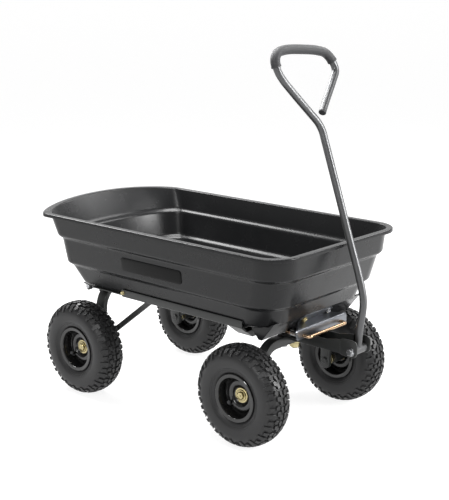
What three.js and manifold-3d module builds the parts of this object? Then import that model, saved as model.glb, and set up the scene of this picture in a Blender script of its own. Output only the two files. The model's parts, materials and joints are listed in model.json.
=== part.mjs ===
// Four-wheel poly garden dump cart: a tub on a steel frame, a steered front axle
// and a pull handle that leans back against the tub.
// Millimetres. +X is the pull end, +Y the cart's left, +Z up, ground at z = 0.
import * as THREE from "three";
import { mergeVertices } from "three/addons/utils/BufferGeometryUtils.js";
import Module from "manifold-3d";

// ---------------------------------------------------------------- driving sizes
const CLEARANCE = 0.3; // air between neighbouring pieces
const SHEET = 3; // bracket and rail steel

const WHEEL = { radius: 127, halfWidth: 40.5, rimRadius: 60, segments: 20 };
const WHEELBASE = 551;
const REAR_TRACK = 430;
const FRONT_TRACK = 404;
const HUB = { outer: 17, inner: 14.4, outEnd: 2.5, inEnd: -46 };
const AXLE_RADIUS = 8;
const LEG_THICKNESS = 14; // arch leg, and the axle bolt's grip
const LEG_FROM_MIDPLANE = 60; // wheel mid-plane to the leg's outer face

const REAR_ARCH = { halfWidth: 155, top: 290.7, bottom: 104, width: 30, shoulder: 70 };
const FRONT_ARCH = { halfWidth: 142, top: 239, bottom: 105, width: 26, shoulder: 58 };
const FRONT_ARCH_DEPTH = 24; // thickness of its crown

const RAIL = { z0: 291, z1: 294, inner: 170, outer: 204.5, top: 311, x0: 140, x1: 548 };
const RAIL_TAIL = { x0: -33, x1: 20, rearOuter: 182, outer: 195 };
const CROSS = { x0: 500, x1: 546, z0: 262, z1: 290.7, footHalf: 162, topHalf: 200 };
const DUMP_PIVOT = { x: -25, z: 282, radius: 5 };

const TUB_WALL = 4;
const TUB_FRONT_CORNER = 75;
const TUB_REAR_CROWN = 14;
const TUB_FOOT_HALF = 178;
// Outside of the tub from the floor up: height, half width, rear end, front end.
const TUB_LEVELS = [
  { z: 297, half: 193, rear: -52, front: 617 },
  { z: 303, half: 198, rear: -58, front: 625 },
  { z: 348, half: 213, rear: -90, front: 641 },
  { z: 355, half: 222, rear: -102, front: 654 },
  { z: 421, half: 229, rear: -121, front: 671 },
  { z: 428, half: 237, rear: -131, front: 681 },
  { z: 483, half: 242, rear: -161, front: 685 },
];
const LIP = { top: 487, bottom: 478, half: 257, rear: -175, front: 696, skirt: 3 };

const KINGPIN = { x: WHEELBASE, radius: 8, bore: 8.6 };
const LATCH = { y: 76, z: 263, barX: 652, pinX: 550, radius: 3.75, collarX: 592 };
const LATCH_SPRING = { x0: 594.6, x1: 628.6, coilRadius: 6.3, wire: 0.9, turns: 5 };
const HANDLE_PIVOT = { x: 740, z: 233 };
const HANDLE_RADIUS = 9;
const GRIP_RADIUS = 12;

// ---------------------------------------------------------------- solids
const wasm = await Module();
wasm.setup();

function solid(geometry) {
  const plain = geometry.index ? geometry.toNonIndexed() : geometry.clone();
  plain.deleteAttribute("normal");
  plain.deleteAttribute("uv");
  const merged = mergeVertices(plain, 1e-4);
  return new wasm.Manifold(
    new wasm.Mesh({
      numProp: 3,
      vertProperties: merged.attributes.position.array,
      triVerts: new Uint32Array(merged.index.array),
    }),
  );
}

function geometryOf(body) {
  const mesh = body.getMesh();
  const geometry = new THREE.BufferGeometry();
  geometry.setAttribute("position", new THREE.BufferAttribute(mesh.vertProperties, 3));
  geometry.setIndex(new THREE.BufferAttribute(mesh.triVerts, 1));
  geometry.computeVertexNormals();
  return geometry;
}

const union = (...bodies) => bodies.reduce((sum, body) => sum.add(body));
const cut = (body, ...tools) => tools.reduce((left, tool) => left.subtract(tool), body);

// ---------------------------------------------------------------- flat outlines
// Rounds the corners of a polygon given as [u, v, radius] points.
function rounded(corners, steps = 4) {
  const points = [];
  corners.forEach(([u, v, radius = 0], i) => {
    const here = new THREE.Vector2(u, v);
    if (!radius) {
      points.push(here);
      return;
    }
    const [pu, pv] = corners.at(i - 1);
    const [nu, nv] = corners[(i + 1) % corners.length];
    const back = new THREE.Vector2(pu, pv).sub(here).normalize();
    const ahead = new THREE.Vector2(nu, nv).sub(here).normalize();
    const half = Math.acos(THREE.MathUtils.clamp(back.dot(ahead), -1, 1)) / 2;
    const toCentre = back.clone().add(ahead).normalize();
    const centre = here.clone().addScaledVector(toCentre, radius / Math.sin(half));
    const reach = radius / Math.tan(half);
    const from = here.clone().addScaledVector(back, reach).sub(centre);
    const to = here.clone().addScaledVector(ahead, reach).sub(centre);
    const turn = Math.atan2(from.cross(to), from.dot(to));
    for (let k = 0; k <= steps; k++) {
      const spoke = from.clone().rotateAround(new THREE.Vector2(), (turn * k) / steps);
      points.push(spoke.add(centre));
    }
  });
  return points;
}

// Outline of sheet metal bent along a line of points.
function sheetOutline(line, thickness) {
  const points = line.map(([u, v]) => new THREE.Vector2(u, v));
  const side = (sign) =>
    points.map((point, i) => {
      const before = points[Math.max(i - 1, 0)];
      const after = points[Math.min(i + 1, points.length - 1)];
      const into = point.clone().sub(i ? before : point);
      const out = after.clone().sub(i < points.length - 1 ? point : after);
      const a = (into.length() ? into : out).clone().normalize();
      const b = (out.length() ? out : into).clone().normalize();
      const mitre = new THREE.Vector2(-a.y - b.y, a.x + b.x).normalize();
      const stretch = 1 / mitre.dot(new THREE.Vector2(-a.y, a.x));
      return point.clone().addScaledVector(mitre, (sign * thickness * stretch) / 2);
    });
  return [...side(1), ...side(-1).reverse()];
}

function extruded(outline, depth, holes = []) {
  const shape = new THREE.Shape(outline);
  shape.holes = holes.map((hole) => new THREE.Path(hole));
  return new THREE.ExtrudeGeometry(shape, { depth, bevelEnabled: false, steps: 1 });
}

const asVectors = (points) => points.map((p) => (p.isVector2 ? p : new THREE.Vector2(...p)));

// An XZ outline swept from y0 to y1.
function alongY(outline, y0, y1) {
  const geometry = extruded(asVectors(outline), y1 - y0);
  return solid(geometry.rotateX(Math.PI / 2).translate(0, y1, 0));
}

// A YZ outline swept from x0 to x1.
function alongX(outline, x0, x1) {
  const geometry = extruded(asVectors(outline), x1 - x0);
  return solid(geometry.rotateX(Math.PI / 2).rotateZ(Math.PI / 2).translate(x0, 0, 0));
}

// An XY outline swept from z0 to z1.
function alongZ(outline, z0, z1) {
  return solid(extruded(asVectors(outline), z1 - z0).translate(0, 0, z0));
}

function block(x0, x1, y0, y1, z0, z1) {
  const geometry = new THREE.BoxGeometry(x1 - x0, y1 - y0, z1 - z0);
  return solid(geometry.translate((x0 + x1) / 2, (y0 + y1) / 2, (z0 + z1) / 2));
}

// ---------------------------------------------------------------- round solids
// Turned ring or disc about the Y axis from a closed [radius, y] profile.
function turned(profile, segments) {
  const points = profile.map(([r, y]) => new THREE.Vector2(r, y));
  if (THREE.ShapeUtils.area(points) < 0) points.reverse();
  return solid(new THREE.LatheGeometry([...points, points[0]], segments));
}

function barY(x, z, radius, y0, y1, sides = 16) {
  const geometry = new THREE.CylinderGeometry(radius, radius, y1 - y0, sides);
  return solid(geometry.translate(x, (y0 + y1) / 2, z));
}

function barX(y, z, radius, x0, x1, sides = 12) {
  const geometry = new THREE.CylinderGeometry(radius, radius, x1 - x0, sides);
  return solid(geometry.rotateZ(Math.PI / 2).translate((x0 + x1) / 2, y, z));
}

function barZ(x, y, radius, z0, z1, sides = 16) {
  const geometry = new THREE.CylinderGeometry(radius, radius, z1 - z0, sides);
  return solid(geometry.rotateX(Math.PI / 2).translate(x, y, (z0 + z1) / 2));
}

function circle(radius, sides) {
  return Array.from({ length: sides }, (_, i) => {
    const angle = (2 * Math.PI * i) / sides;
    return new THREE.Vector2(radius * Math.cos(angle), radius * Math.sin(angle));
  });
}

// Round bar swept along a curve.
function swept(curve, radius, steps, sides) {
  const shape = new THREE.Shape(circle(radius, sides));
  return solid(
    new THREE.ExtrudeGeometry(shape, { steps, bevelEnabled: false, extrudePath: curve }),
  );
}

// Straight runs joined by quadratic bends, through [x, y, z, bend reach] points.
function bentLine(stops) {
  const path = new THREE.CurvePath();
  let from = new THREE.Vector3(...stops[0].slice(0, 3));
  for (let i = 1; i < stops.length; i++) {
    const corner = new THREE.Vector3(...stops[i].slice(0, 3));
    const reach = i < stops.length - 1 ? stops[i][3] : 0;
    const back = from.clone().sub(corner).normalize();
    const start = corner.clone().addScaledVector(back, reach);
    path.add(new THREE.LineCurve3(from, start));
    from = start;
    if (reach) {
      const next = new THREE.Vector3(...stops[i + 1].slice(0, 3));
      const ahead = next.sub(corner).normalize();
      const end = corner.clone().addScaledVector(ahead, reach);
      path.add(new THREE.QuadraticBezierCurve3(start, corner, end));
      from = end;
    }
  }
  return path;
}

// Skin over rings that all have the same number of points, closed at both ends.
function lofted(rings) {
  const count = rings[0].length;
  const faces = [];
  for (let k = 0; k + 1 < rings.length; k++) {
    for (let i = 0; i < count; i++) {
      const j = (i + 1) % count;
      const [a, b] = [k * count + i, k * count + j];
      faces.push(a, b, b + count, a, b + count, a + count);
    }
  }
  const last = (rings.length - 1) * count;
  const flat = rings[0].map((p) => new THREE.Vector2(p.x, p.y));
  for (const [a, b, c] of THREE.ShapeUtils.triangulateShape(flat, [])) {
    faces.push(a, c, b);
    faces.push(last + a, last + b, last + c);
  }
  const geometry = new THREE.BufferGeometry().setFromPoints(rings.flat());
  geometry.setIndex(faces);
  return solid(geometry);
}

// ---------------------------------------------------------------- scene graph
const cart = new THREE.Group();
const model = new THREE.Group();
cart.add(model);

const material = (color, roughness, metalness) =>
  new THREE.MeshStandardMaterial({ color, roughness, metalness });
const LOOKS = {
  tubPoly: () => material(0x2c2f33, 0.5, 0),
  frameCoat: () => material(0x363a3a, 0.45, 0.1),
  tyreRubber: () => material(0x1a1b1c, 0.9, 0),
  rimCoat: () => material(0x111213, 0.25, 0.1),
  yellowZinc: () => material(0xc9a94e, 0.3, 1),
  whiteZinc: () => material(0xc4c6c8, 0.3, 1),
  galvanised: () => material(0xa9aeb2, 0.4, 1),
  copperRod: () => material(0xb87b4c, 0.3, 1),
  satinTube: () => material(0x8a8d90, 0.4, 0.7),
  gripVinyl: () => material(0x2a2c2f, 0.6, 0),
  plateGloss: () => material(0x0b0b0c, 0.2, 0),
};

function add(parent, name, body, look) {
  const mesh = new THREE.Mesh(geometryOf(body), LOOKS[look]());
  mesh.name = name;
  parent.add(mesh);
  return mesh;
}

// ---------------------------------------------------------------- wheels
// A wheel is built about its own centre with +Y pointing away from the cart.
const mirrored = (half) => [...half, ...half.toReversed().map(([r, y]) => [r, -y])];

function tyreBody() {
  const outside = mirrored([
    [52.5, 29],
    [62, 29.5],
    [78, WHEEL.halfWidth],
    [98, 40],
    [117, 30],
    [WHEEL.radius, 13],
  ]);
  const inside = mirrored([
    [52.5, 24],
    [66, 25],
    [84, 34.5],
    [112, 26],
  ]);
  return turned([...outside, ...inside.toReversed()], WHEEL.segments);
}

// One pressed half of the split rim; the halves meet at the wheel's mid-plane.
function rimHalf(sign) {
  const profile = [
    [18, 0.2],
    [27, 8.5],
    [37, 8.5],
    [45, 0.2],
    [51.5, 0.2],
    [51.5, 30.2],
    [WHEEL.rimRadius, 31],
    [WHEEL.rimRadius, 34],
    [49.3, 33],
    [49.3, 2.4],
    [38, 11.2],
    [25.5, 11.2],
    [20.5, 2.4],
    [18, 2.4],
  ];
  return turned(profile.map(([r, y]) => [r, sign * y]), 14);
}

const ring = (outer, inner, y0, y1, sides) =>
  turned([[outer, y0], [outer, y1], [inner, y1], [inner, y0]], sides);

function axleBolt() {
  const tail = -LEG_FROM_MIDPLANE - LEG_THICKNESS - 4;
  return union(
    barY(0, 0, AXLE_RADIUS, tail, 4, 12),
    barY(0, 0, 19, 3, 5.6, 14),
    barY(0, 0, 13.5, 5, 7.2, 12),
    barY(0, 0, 10.5, 7, 11.5, 6),
  );
}

// Flanged nut that clamps the bolt to the leg, between the leg and the hub.
function axleNut() {
  const face = -LEG_FROM_MIDPLANE + CLEARANCE;
  return cut(
    union(barY(0, 0, 15.5, face, face + 2.2, 14), barY(0, 0, 13.5, face + 1.5, face + 11.5, 6)),
    barY(0, 0, AXLE_RADIUS + 0.4, face - 1, face + 13, 12),
  );
}

function addWheel(place, x, halfTrack, side) {
  const wheel = new THREE.Group();
  wheel.position.set(x, side * halfTrack, WHEEL.radius);
  wheel.rotation.z = side > 0 ? 0 : Math.PI;
  model.add(wheel);
  add(wheel, `${place}_tyre`, tyreBody(), "tyreRubber");
  add(wheel, `${place}_rim_outer`, rimHalf(1), "rimCoat");
  add(wheel, `${place}_rim_inner`, rimHalf(-1), "rimCoat");
  const tube = ring(HUB.outer, HUB.inner, HUB.inEnd, HUB.outEnd, 16);
  add(wheel, `${place}_hub_tube`, tube, "frameCoat");
  const bearing = (y0) => ring(HUB.inner - 0.5, AXLE_RADIUS + 0.5, y0, y0 + 10, 12);
  add(wheel, `${place}_bearing_outer`, bearing(HUB.outEnd - 10.5), "whiteZinc");
  add(wheel, `${place}_bearing_inner`, bearing(HUB.inEnd + 0.5), "whiteZinc");
  add(wheel, `${place}_axle_bolt`, axleBolt(), "yellowZinc");
  add(wheel, `${place}_axle_nut`, axleNut(), "yellowZinc");
}

for (const [end, x, track] of [["rear", 0, REAR_TRACK], ["front", WHEELBASE, FRONT_TRACK]]) {
  addWheel(`${end}_right`, x, track / 2, -1);
  addWheel(`${end}_left`, x, track / 2, 1);
}

// ---------------------------------------------------------------- axle arches
// A flat band bent into an arch over the axle line, with rounded leg ends.
function archBody(arch, x, crownDepth, innerRadius) {
  const { halfWidth, top, bottom, width, shoulder } = arch;
  const inner = halfWidth - LEG_THICKNESS;
  const outline = rounded([
    [-halfWidth, bottom],
    [-halfWidth, top, shoulder],
    [halfWidth, top, shoulder],
    [halfWidth, bottom],
    [inner, bottom],
    [inner, top - crownDepth, innerRadius],
    [-inner, top - crownDepth, innerRadius],
    [-inner, bottom],
  ], 5);
  const r = width / 2 - 0.1;
  const sideView = rounded([
    [x - width / 2, bottom, r],
    [x + width / 2, bottom, r],
    [x + width / 2, top + 1],
    [x - width / 2, top + 1],
  ]);
  const band = alongX(outline, x - width / 2, x + width / 2);
  const legs = band.intersect(alongY(sideView, -halfWidth - 1, halfWidth + 1));
  return cut(legs, barY(x, WHEEL.radius, AXLE_RADIUS + 0.6, -halfWidth - 2, halfWidth + 2));
}

add(model, "rear_axle_arch", archBody(REAR_ARCH, 0, LEG_THICKNESS, 58), "frameCoat");

const SADDLE_BOLT_Y = 43;
const frontArch = cut(
  archBody(FRONT_ARCH, WHEELBASE, FRONT_ARCH_DEPTH, 40),
  barZ(KINGPIN.x, 0, KINGPIN.bore, 200, 260),
  barZ(KINGPIN.x, SADDLE_BOLT_Y, 4.6, 200, 260, 12),
  barZ(KINGPIN.x, -SADDLE_BOLT_Y, 4.6, 200, 260, 12),
);
add(model, "front_axle_arch", frontArch, "frameCoat");

// ---------------------------------------------------------------- frame
function railBody(side) {
  const lugEnd = 2 * DUMP_PIVOT.x - RAIL_TAIL.x0;
  const lug = rounded([
    [RAIL_TAIL.x0, RAIL.z0 + 1],
    [RAIL_TAIL.x0, DUMP_PIVOT.z - 10, 7.5],
    [lugEnd, DUMP_PIVOT.z - 10, 7.5],
    [lugEnd, RAIL.z0 + 1],
  ]);
  const right = cut(
    union(
      block(RAIL.x0, RAIL.x1, RAIL.inner, RAIL.outer, RAIL.z0, RAIL.z1),
      block(RAIL_TAIL.x1, RAIL.x0 + 1, RAIL.inner, RAIL_TAIL.outer, RAIL.z0, RAIL.z1),
      block(RAIL_TAIL.x0, RAIL_TAIL.x1 + 1, RAIL.inner, RAIL_TAIL.rearOuter, RAIL.z0, RAIL.z1),
      block(RAIL.x0, RAIL.x1, RAIL.outer - SHEET, RAIL.outer, RAIL.z0, RAIL.top),
      alongY(lug, RAIL.inner, RAIL.inner + SHEET),
    ),
    barY(DUMP_PIVOT.x, DUMP_PIVOT.z, DUMP_PIVOT.radius + 0.4, 160, 180, 12),
  );
  return side > 0 ? right : right.mirror([0, 1, 0]);
}

// Flat bar from the arch leg up and out to the rail.
function braceBody(side) {
  const face = REAR_ARCH.width / 2 + CLEARANCE;
  const under = RAIL.z0 - CLEARANCE;
  const outline = [[face, 131], [239, under], [214, under], [face, 149]];
  const geometry = extruded(asVectors(outline), 5).rotateX(Math.PI / 2);
  const splay = 0.18;
  const y0 = 151 - splay * face;
  geometry.applyMatrix4(new THREE.Matrix4().set(1, 0, 0, 0, splay, 1, 0, y0, 0, 0, 1, 0, 0, 0, 0, 1));
  const right = solid(geometry);
  return side > 0 ? right : right.mirror([0, 1, 0]);
}

for (const [name, side] of [["right", -1], ["left", 1]]) {
  add(model, `${name}_rail`, railBody(side), "frameCoat");
  add(model, `${name}_brace`, braceBody(side), "frameCoat");
}

// Channel that spans the rails over the rear arch and opens downwards.
const rearChannel = (() => {
  const { width } = REAR_ARCH;
  const half = width / 2 + CLEARANCE + SHEET;
  const span = RAIL.inner - CLEARANCE;
  // the hinge lugs of the tub swing through the notches in its rear corners
  const notch = block(-half - 1, -12, 161, span + 1, 270, RAIL.z1 + 1);
  return cut(
    block(-half, half, -span, span, 276, RAIL.z1),
    block(-half + SHEET, half - SHEET, -span - 1, span + 1, 270, RAIL.z0),
    notch,
    notch.mirror([0, 1, 0]),
  );
})();
add(model, "rear_cross_member", rearChannel, "frameCoat");

// Open-topped pressing under the rails that carries the kingpin on a front tab.
function crossMemberBody() {
  const { x0, x1, z0, z1, footHalf, topHalf } = CROSS;
  const trapezoid = (drop, inset) => [
    [-footHalf + inset, z0 + drop],
    [footHalf - inset, z0 + drop],
    [topHalf - inset, z1 + inset],
    [-topHalf + inset, z1 + inset],
  ];
  const shell = cut(
    alongX(trapezoid(0, 0), x0, x1),
    alongX(trapezoid(SHEET, SHEET), x0 + SHEET, x1 - SHEET),
    block(x1 - SHEET - 1, x1 + 1, -topHalf, topHalf, 278, z1 + 1),
    block(x1 - SHEET - 1, x1 + 1, -20, 20, z0 + SHEET, z1),
  );
  const tab = rounded([[x1 - 2, -45], [568, -30, 8], [568, 30, 8], [x1 - 2, 45]]);
  return cut(
    union(shell, alongZ(tab, z0, z0 + SHEET)),
    barZ(KINGPIN.x, 0, KINGPIN.bore, 250, 270),
    barX(LATCH.y, LATCH.z, 5.5, x1 - 8, x1 + 2),
    barX(-LATCH.y, LATCH.z, 5.5, x1 - 8, x1 + 2),
  );
}
add(model, "front_cross_member", crossMemberBody(), "frameCoat");

const pivotEnd = (y0, y1) => barY(DUMP_PIVOT.x, DUMP_PIVOT.z, 8, y0, y1, 12);
const pivotRod = union(
  barY(DUMP_PIVOT.x, DUMP_PIVOT.z, DUMP_PIVOT.radius, -176, 176, 12),
  pivotEnd(173.6, 177),
  pivotEnd(-177, -173.6),
);
add(model, "tub_pivot_rod", pivotRod, "whiteZinc");

const kingpinBolt = union(
  barZ(KINGPIN.x, 0, KINGPIN.radius, 194, 268),
  barZ(KINGPIN.x, 0, 12.5, CROSS.z0 + SHEET + CLEARANCE, 273.5, 6),
);
add(model, "kingpin_bolt", kingpinBolt, "whiteZinc");

const crownUnderside = FRONT_ARCH.top - FRONT_ARCH_DEPTH;
const kingpinNut = cut(
  union(
    barZ(KINGPIN.x, 0, 17, crownUnderside - 3.4, crownUnderside - CLEARANCE, 20),
    barZ(KINGPIN.x, 0, 14, crownUnderside - 18, crownUnderside - 3, 6),
  ),
  barZ(KINGPIN.x, 0, KINGPIN.radius + 0.4, 190, 220),
);
add(model, "kingpin_nut", kingpinNut, "yellowZinc");

// ---------------------------------------------------------------- tub
// Plan outline: bowed rear end with soft corners, straight sides, round front corners.
function tubRing(z, half, rear, front, corner) {
  const rise = Math.max(0, (z - 297) / 190);
  const bow = 10 + 26 * rise;
  const cornerDepth = 54;
  const crown = TUB_REAR_CROWN * Math.max(0, (z - 428) / 59);
  const points = [];
  const steps = 14;
  for (let i = 0; i <= steps; i++) {
    const angle = -Math.PI / 2 + (Math.PI * i) / steps;
    const across = Math.sign(Math.sin(angle)) * Math.abs(Math.sin(angle)) ** (2 / 3);
    const along = Math.abs(Math.cos(angle)) ** (2 / 3);
    const flat = 1 - across * across;
    const x = rear + bow * (1 - flat) + cornerDepth * (1 - along);
    points.push(new THREE.Vector3(x, half * across, z + crown * flat));
  }
  const cornerSteps = 4;
  for (const side of [1, -1]) {
    for (let i = 0; i <= cornerSteps; i++) {
      const share = side > 0 ? 1 - i / cornerSteps : i / cornerSteps;
      const angle = (Math.PI / 2) * share;
      const x = front - corner * (1 - Math.cos(angle));
      const y = side * (half - corner * (1 - Math.sin(angle)));
      points.push(new THREE.Vector3(x, y, z));
    }
  }
  return points.reverse();
}

function tubShell() {
  const ringAt = (z, half, rear, front, shrink = 0) =>
    tubRing(z, half - shrink, rear + shrink, front - shrink, TUB_FRONT_CORNER - shrink);
  const outside = TUB_LEVELS.map(({ z, half, rear, front }) => ringAt(z, half, rear, front));
  const { top, bottom, half, rear, front, skirt } = LIP;
  const lip = [
    ringAt(top - 4, half, rear, front, skirt),
    ringAt(bottom, half, rear, front, skirt),
    ringAt(bottom, half, rear, front),
    ringAt(top - 1.5, half, rear, front),
    ringAt(top, half, rear, front, 1.8),
    ringAt(top, half, rear, front, 16.5),
  ];
  const inside = TUB_LEVELS.slice(1, -1)
    .reverse()
    .map((level) => ringAt(level.z + 2, level.half, level.rear, level.front, TUB_WALL));
  const floor = TUB_LEVELS[0];
  const inner = [...inside, ringAt(floor.z + TUB_WALL, floor.half, floor.rear, floor.front, 5)];
  return lofted([...outside, ...lip, ...inner]);
}

// Slope on which the latch bracket is bolted: the foot's front face.
const FOOT_TOE = new THREE.Vector2(587, 264.5);
const FOOT_HEAD = new THREE.Vector2(622.5, 309);
const faceDirection = FOOT_HEAD.clone().sub(FOOT_TOE).normalize();
const faceNormal = new THREE.Vector2(faceDirection.y, -faceDirection.x);

const onFace = (z, out) => {
  const along = (z - FOOT_TOE.y) / faceDirection.y;
  return FOOT_TOE.clone().addScaledVector(faceDirection, along).addScaledVector(faceNormal, out);
};

const BRACKET_BOLT = { y: 48, z: 295, hole: 4 };
function boltOnFace(side, radius, from, to, sides) {
  const seat = onFace(BRACKET_BOLT.z, (from + to) / 2);
  const geometry = new THREE.CylinderGeometry(radius, radius, to - from, sides);
  geometry.rotateZ(-Math.PI / 2);
  geometry.rotateY(-Math.atan2(faceNormal.y, faceNormal.x));
  return solid(geometry.translate(seat.x, side * BRACKET_BOLT.y, seat.y));
}

function tubBody() {
  const ridge = [
    [547, 298],
    [577, FOOT_TOE.y],
    [FOOT_TOE.x, FOOT_TOE.y],
    [FOOT_HEAD.x, FOOT_HEAD.y],
    [619, 311],
    [606, 302],
    [560, 299],
  ];
  const undercut = [
    [FOOT_TOE.x, FOOT_TOE.y],
    [640, FOOT_TOE.y],
    [640, FOOT_HEAD.y],
    [FOOT_HEAD.x, FOOT_HEAD.y],
  ];
  const groove = (side) =>
    block(565, 604, side * LATCH.y - 7, side * LATCH.y + 7, 250, LATCH.z + 7);
  return cut(
    union(tubShell(), alongY(ridge, -TUB_FOOT_HALF, TUB_FOOT_HALF)),
    alongY(undercut, -TUB_FOOT_HALF, TUB_FOOT_HALF),
    groove(1),
    groove(-1),
    boltOnFace(1, BRACKET_BOLT.hole, -14, 2, 12),
    boltOnFace(-1, BRACKET_BOLT.hole, -14, 2, 12),
  );
}
add(model, "tub", tubBody(), "tubPoly");

// Blank plate on the right side wall, tilted with the wall.
function labelPlateBody() {
  const [length, height, thickness] = [210, 35, 1.6];
  const [lower, upper] = [TUB_LEVELS[3], TUB_LEVELS[4]];
  const lean = Math.atan2(upper.half - lower.half, upper.z - lower.z);
  const z = 388.5;
  const wall = lower.half + (z - lower.z) * Math.tan(lean);
  const [u, v] = [length / 2, height / 2];
  const outline = rounded([[-u, -v, 8], [u, -v, 8], [u, v, 8], [-u, v, 8]]);
  const geometry = extruded(outline, thickness);
  geometry.translate(0, 0, CLEARANCE).rotateX(Math.PI / 2 + lean);
  return solid(geometry.translate(268, -wall, z));
}
add(model, "label_plate", labelPlateBody(), "plateGloss");

// Foot plate on the tub's floor with a lug down to the pivot rod.
function hingeBracketBody(side) {
  const { x, z, radius } = DUMP_PIVOT;
  const floor = TUB_LEVELS[0].z - CLEARANCE;
  const lug = rounded([
    [x - 9.5, floor - 1],
    [x - 9.5, z - 10, 9],
    [x + 9.5, z - 10, 9],
    [x + 9.5, floor - 1],
  ]);
  const right = cut(
    union(
      block(x - 9.5, x + 60, 140, 166.4, floor - 2.4, floor),
      alongY(lug, 163.4, 166.4),
    ),
    barY(x, z, radius + 0.4, 160, 170, 12),
  );
  return side > 0 ? right : right.mirror([0, 1, 0]);
}
add(model, "right_hinge_bracket", hingeBracketBody(-1), "whiteZinc");
add(model, "left_hinge_bracket", hingeBracketBody(1), "whiteZinc");

// ---------------------------------------------------------------- latch
function latchBracketBody() {
  const mid = CLEARANCE + SHEET / 2;
  const [top, fold] = [onFace(306, mid), onFace(285.5, mid)];
  const upper = sheetOutline([[top.x, top.y], [fold.x, fold.y]], SHEET);
  const shelf = sheetOutline([[fold.x, fold.y], [631, 277.5], [633, 256]], SHEET);
  const plan = [
    [598, -64],
    [628, -103],
    [640, -103],
    [640, 103],
    [628, 103],
    [598, 64],
  ];
  const lower = alongY(shelf, -110, 110).intersect(alongZ(plan, 250, 300));
  const hole = (side) => barX(side * LATCH.y, LATCH.z, 5, 625, 640);
  return cut(
    union(alongY(upper, -64, 64), lower),
    hole(1),
    hole(-1),
    boltOnFace(1, BRACKET_BOLT.hole, -1, 5, 12),
    boltOnFace(-1, BRACKET_BOLT.hole, -1, 5, 12),
  );
}
add(model, "latch_bracket", latchBracketBody(), "galvanised");

function bracketBoltBody(side) {
  const seat = CLEARANCE + SHEET + CLEARANCE;
  return union(
    boltOnFace(side, 3.4, -10, seat + 1, 10),
    boltOnFace(side, 9, seat, seat + 1.8, 16),
    boltOnFace(side, 6.5, seat + 1.5, seat + 6, 6),
  );
}
add(model, "right_bracket_bolt", bracketBoltBody(-1), "yellowZinc");
add(model, "left_bracket_bolt", bracketBoltBody(1), "whiteZinc");

// U-shaped pull rod: two pins through the flange joined by a bar in front.
function latchRodBody() {
  const { y, z, barX: front, pinX, radius, collarX } = LATCH;
  const route = bentLine([
    [pinX, -y, z],
    [front, -y, z, 9],
    [front, y, z, 9],
    [pinX, y, z],
  ]);
  const collar = (side) => barX(side * y, z, 6, collarX, collarX + 2, 10);
  return union(swept(route, radius, 30, 8), collar(1), collar(-1));
}
add(model, "latch_rod", latchRodBody(), "copperRod");

class Helix extends THREE.Curve {
  constructor(x0, x1, y, z, radius, turns) {
    super();
    Object.assign(this, { x0, x1, y, z, radius, turns });
  }

  getPoint(t, target = new THREE.Vector3()) {
    const angle = 2 * Math.PI * this.turns * t;
    const x = this.x0 + (this.x1 - this.x0) * t;
    const across = this.radius * Math.cos(angle);
    const up = this.radius * Math.sin(angle);
    return target.set(x, this.y + across, this.z + up);
  }
}

function springBody(side) {
  const { x0, x1, coilRadius, wire, turns } = LATCH_SPRING;
  const coil = new Helix(x0 + wire, x1 - wire, side * LATCH.y, LATCH.z, coilRadius, turns);
  return swept(coil, wire, turns * 7, 4);
}
add(model, "right_latch_spring", springBody(-1), "whiteZinc");
add(model, "left_latch_spring", springBody(1), "whiteZinc");

// ---------------------------------------------------------------- tongue
// Saddle plate on the front arch, channel forward, and ears round the handle pivot.
function tongueBody() {
  const under = FRONT_ARCH.top + CLEARANCE;
  const back = WHEELBASE + FRONT_ARCH.width / 2 + 1;
  const saddle = rounded([[536, -58, 8], [600, -58, 8], [600, 58, 8], [536, 58, 8]], 2);
  const cheek = [
    [back, 223],
    [715, 223],
    [715, 258],
    [696, 256],
    [668, 250],
    [back, 250],
  ];
  const ear = rounded([[708, 221, 4], [757, 217, 15], [757, 262, 13], [708, 262, 7]], 3);
  const side = (sign) => {
    const plates = union(alongY(cheek, 26, 29), alongY(ear, 26, 30));
    return sign > 0 ? plates : plates.mirror([0, 1, 0]);
  };
  const boltHole = (y) => barZ(KINGPIN.x, y, 4.6, 235, 255, 12);
  return cut(
    union(
      alongZ(saddle, under, under + 4),
      barZ(KINGPIN.x, 0, 17, under + 3, CROSS.z0 - CLEARANCE, 20),
      block(back, 715, -28, 28, 223, 226),
      side(1),
      side(-1),
    ),
    barZ(KINGPIN.x, 0, KINGPIN.bore, 235, 265),
    boltHole(SADDLE_BOLT_Y),
    boltHole(-SADDLE_BOLT_Y),
    barY(HANDLE_PIVOT.x, HANDLE_PIVOT.z, 6.4, -40, 40, 12),
  );
}
add(model, "tongue", tongueBody(), "frameCoat");

function tongueBoltBody(side) {
  const top = FRONT_ARCH.top + CLEARANCE + 4 + CLEARANCE;
  const y = side * SADDLE_BOLT_Y;
  return union(
    barZ(KINGPIN.x, y, 4, crownUnderside - 6, top + 1, 10),
    barZ(KINGPIN.x, y, 7.5, top, top + 6.5, 6),
    barZ(KINGPIN.x, y, 7.5, crownUnderside - 7, crownUnderside - CLEARANCE, 6),
  );
}
add(model, "right_tongue_bolt", tongueBoltBody(-1), "whiteZinc");
add(model, "left_tongue_bolt", tongueBoltBody(1), "whiteZinc");

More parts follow.
